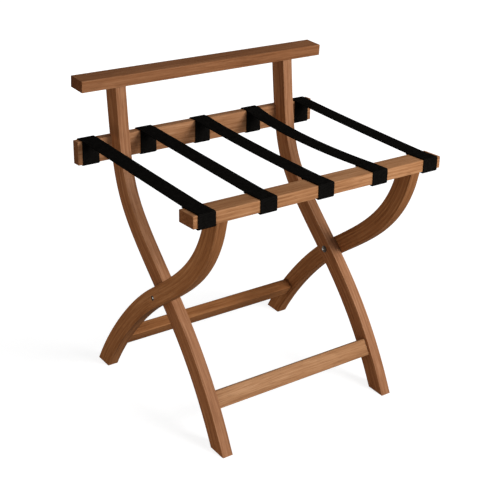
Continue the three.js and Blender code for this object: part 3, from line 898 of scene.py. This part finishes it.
def pivot(side, sign):
    """Bolt, washers and nut of one side, set out from the long leg's inner face."""
    start = on_pivot_axis(sign * (LONG_LEG_X - LEG_THICKNESS / 2))
    bore = BOLT_RADIUS + GAP
    head_seat = -WASHER_THICKNESS - 2 * GAP
    spacer = LEG_THICKNESS + GAP
    bolt = dome(BOLT_HEAD_RADIUS, BOLT_HEAD_HEIGHT, head_seat) + [
        (BOLT_RADIUS, head_seat),
        (BOLT_RADIUS, BOLT_END - BOLT_CHAMFER),
        (BOLT_RADIUS - BOLT_CHAMFER, BOLT_END),
        (0, BOLT_END),
    ]
    profiles = {
        "pivot_bolt": bolt,
        "head_washer": washer(bore, HEAD_WASHER_RADIUS, -GAP - WASHER_THICKNESS, -GAP),
        "spacer_washer": washer(bore, SPACER_WASHER_RADIUS, spacer, spacer + WASHER_THICKNESS),
        "pivot_nut": washer(bore, NUT_RADIUS, BOLT_END - NUT_HEIGHT, BOLT_END),
    }
    for name, profile in profiles.items():
        fixing(f"{name}_{side}", profile, start, (sign, 0, 0), BACK, PIVOT_STEEL)


def rear_rail_screws():
    tip = rear_rail.depth + SCREW_INTO_LEG
    profile = [
        (0, GAP), (SCREW_HEAD, GAP), (SCREW_SHANK, SCREW_NECK), (SCREW_SHANK, tip - SCREW_POINT), (0, tip),
    ]
    for node, start in screw_places():
        fixing(node, profile, start, -rear_rail.backward, BACK)


def strap_tacks():
    """One tack behind the rear rail and one below the front rail for each strap."""
    shank = [(TACK_SHANK, 0), (TACK_SHANK, TACK_LENGTH - TACK_POINT), (0, TACK_LENGTH)]
    profile = dome(TACK_HEAD, TACK_CAP, 0) + shank
    lift = GAP + STRAP_THICKNESS + GAP
    for i, x in enumerate(STRAP_XS, 1):
        behind = rear_rail.at(x, rear_rail.depth / 2 + lift, 0)
        below = front_rail.at(x, 0, -front_rail.height / 2 - lift)
        fixing(f"rear_tack_{i}", profile, behind, -rear_rail.backward, BACK)
        fixing(f"front_tack_{i}", profile, below, front_rail.upward, FRONT)


for side, sign in SIDES.items():
    pivot(side, sign)
rear_rail_screws()
strap_tacks()


# Straps

def corner(bar, quarter, droop=0.0):
    """Points round one corner of a rail, a strap's offset from it and lower by its droop."""
    depth_sign, height_sign = CORNERS[quarter]
    reach = bar.edge + STRAP_OFFSET
    points = []
    for step in range(CORNER_STEPS + 1):
        angle = (quarter + step / CORNER_STEPS) * math.pi / 2
        points.append(bar.point(
            depth_sign * (bar.depth / 2 - bar.edge) + reach * math.cos(angle),
            height_sign * (bar.height / 2 - bar.edge) + reach * math.sin(angle) - droop,
        ))
    return points


def bend(a, b, c):
    """A short bend from a to c, pulled towards b."""
    shares = [i / TURN_STEPS for i in range(TURN_STEPS + 1)]
    return [a * (1 - t) ** 2 + b * (2 * t * (1 - t)) + c * t * t for t in shares]


def strap_path(sag):
    """The strap's middle line: sewn lap, round the rear rail, across, round the front rail, sewn lap."""
    leave = corner(rear_rail, FRONT_TOP)[0]
    arrive = corner(front_rail, BACK_TOP)[-1]
    run = (arrive - leave).length

    def span(share):
        share = min(max(share, 0.0), 1.0)
        leaning = share ** SAG_LEAN
        depth = sag * 4 * leaning * (1 - leaning)  # a parabola as deep as the sag
        return leave.lerp(arrive, share) - Vector((0, depth))

    below = Vector((0, -STRAP_THICKNESS - LAP_CLEARANCE))
    rear_face = -rear_rail.depth / 2 - STRAP_OFFSET
    front_face = front_rail.depth / 2 + STRAP_OFFSET
    laps = [(LAP_START + LAP_LENGTH * i / LAP_STEPS) / run for i in range(LAP_STEPS + 1)]
    rear_lap = [span(share) + below for share in reversed(laps)]
    front_lap = [span(1 - share) + below for share in laps]
    rear_turn = bend(
        rear_lap[-1],
        rear_rail.point(rear_face, rear_rail.height / 2 - STRAP_THICKNESS / 2),
        rear_rail.point(rear_face, rear_rail.height / 2 - LAP_TURN),
    )
    front_turn = bend(
        front_rail.point(front_face, front_rail.height / 2 - LAP_TURN),
        front_rail.point(front_face, front_rail.height / 2 - STRAP_THICKNESS / 2),
        front_lap[0],
    )
    pinned = [front_rail.point(d, -front_rail.height / 2 - STRAP_OFFSET) for d in (-TACK_HEAD, TACK_HEAD)]
    steps = round(run / SPAN_STEP)
    return [
        *rear_lap[:-1], *rear_turn,
        *corner(rear_rail, FRONT_BOTTOM), *corner(rear_rail, BACK_BOTTOM), *corner(rear_rail, BACK_TOP),
        *(span(i / steps) for i in range(steps + 1)),
        *corner(front_rail, FRONT_TOP), *corner(front_rail, FRONT_BOTTOM, STRAP_DROOP), *pinned,
        *corner(front_rail, BACK_BOTTOM), *front_turn, *front_lap[1:],
    ]


def tape_section():
    """Points round the tape's section as (across, through), with round selvedges."""
    radius = STRAP_THICKNESS / 2
    flat = STRAP_WIDTH / 2 - radius
    points = []
    for side in (1, -1):
        for step in range(SELVEDGE_STEPS + 1):
            angle = (step / SELVEDGE_STEPS - 0.5) * math.pi
            points.append((side * (flat + radius * math.cos(angle)), side * radius * math.sin(angle)))
        for step in range(1, TAPE_STEPS):
            points.append((side * flat * (1 - 2 * step / TAPE_STEPS), side * radius))
    return points


def strap(index, x, sag):
    """A woven tape wrapped round both strap rails, with a UV map in metres for its weave."""
    line = strap_path(sag)
    section = tape_section()
    rings, runs = [], [0.0]
    for i, point in enumerate(line):
        along = (line[min(i + 1, len(line) - 1)] - line[max(i - 1, 0)]).normalized()
        out = Vector((along.y, -along.x))
        rings.append([(x + u, *(point + out * v)) for u, v in section])
        if i:
            runs.append(runs[-1] + (point - line[i - 1]).length)
    piece = loft(f"webbing_{index}", rings)
    layer = piece.data.uv_layers.new(name="weave")
    for loop in piece.data.loops:
        row, place = divmod(loop.vertex_index, len(section))
        layer.data[loop.index].uv = (section[place][0] * MM, runs[row] * MM)
    piece.data.materials.append(WEBBING)
    shade(piece, TAPE_SHARP_ANGLE)
    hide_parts(f"strap_{index}")
    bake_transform(piece)


for index, (x, sag) in enumerate(zip(STRAP_XS, STRAP_SAGS), 1):
    strap(index, x, sag)


# Floor, light and camera

def white_to_camera(nodes, dim):
    """A strength of 1 for rays that show the background, and dim for rays that light the object."""
    rays = nodes.add("LightPath").outputs
    shown = nodes.math("ADD", rays["Is Camera Ray"], rays["Is Glossy Ray"], clamp=True)
    shown = nodes.math("ADD", shown, rays["Is Transmission Ray"], clamp=True)
    return nodes.between(shown, 0.0, 1.0, dim, 1.0)


def studio_world():
    world = bpy.data.worlds.new("studio")
    scene.world = world
    world.use_nodes = True
    nodes = Nodes(world.node_tree)
    sky = nodes.tree.nodes["Background"]
    nodes.fill(sky.inputs["Color"], WHITE)
    nodes.fill(sky.inputs["Strength"], white_to_camera(nodes, WORLD_LIGHT))


def studio_floor():
    """A pale floor that glows white to the camera, a little less near the rack, and takes its shadow."""
    bpy.ops.mesh.primitive_plane_add(size=2 * FLOOR_HALF, location=(0, 0, 0))
    floor = bpy.context.object
    floor.name = "floor"
    paint = Paint("floor_paint")
    away = paint.measure("LENGTH", paint.add("TexCoord").outputs["Object"])
    glow = paint.math("MULTIPLY", white_to_camera(paint, 0.0), paint.between(away, **FLOOR_FADE))
    paint.set(Base_Color=FLOOR_COLOR, Roughness=0.9, Specular_IOR_Level=0.0)
    paint.set(Emission_Color=WHITE, Emission_Strength=glow)
    floor.data.materials.append(paint.material)


def softbox(name, place, size, power):
    """A square lamp aimed at the rack, in metres and watts, that the camera doesn't see."""
    data = bpy.data.lights.new(name, "AREA")
    data.shape = "SQUARE"
    data.size = size
    data.energy = power
    lamp = bpy.data.objects.new(name, data)
    lamp.location = place
    lamp.visible_camera = False
    lamp.rotation_euler = (LAMP_AIM - Vector(place)).to_track_quat("-Z", "Y").to_euler()
    scene.collection.objects.link(lamp)


def photograph_camera():
    view = bpy.data.cameras.new("camera")
    view.lens = LENS
    view.sensor_width = SENSOR_WIDTH
    camera = bpy.data.objects.new("camera", view)
    camera.location = CAMERA_PLACE
    aim = (CAMERA_AIM - CAMERA_PLACE).to_track_quat("-Z", "Y")
    camera.rotation_euler = (aim @ Quaternion((0, 0, 1), CAMERA_ROLL)).to_euler()
    scene.collection.objects.link(camera)
    scene.camera = camera


studio_world()
studio_floor()
softbox("key", place=(1.2, -2.5, 1.85), size=1.5, power=98)
softbox("fill", place=(-1.4, -0.5, 0.25), size=0.6, power=4.2)
softbox("back", place=(-0.3, 2.9, 0.4), size=1.4, power=30)
photograph_camera()
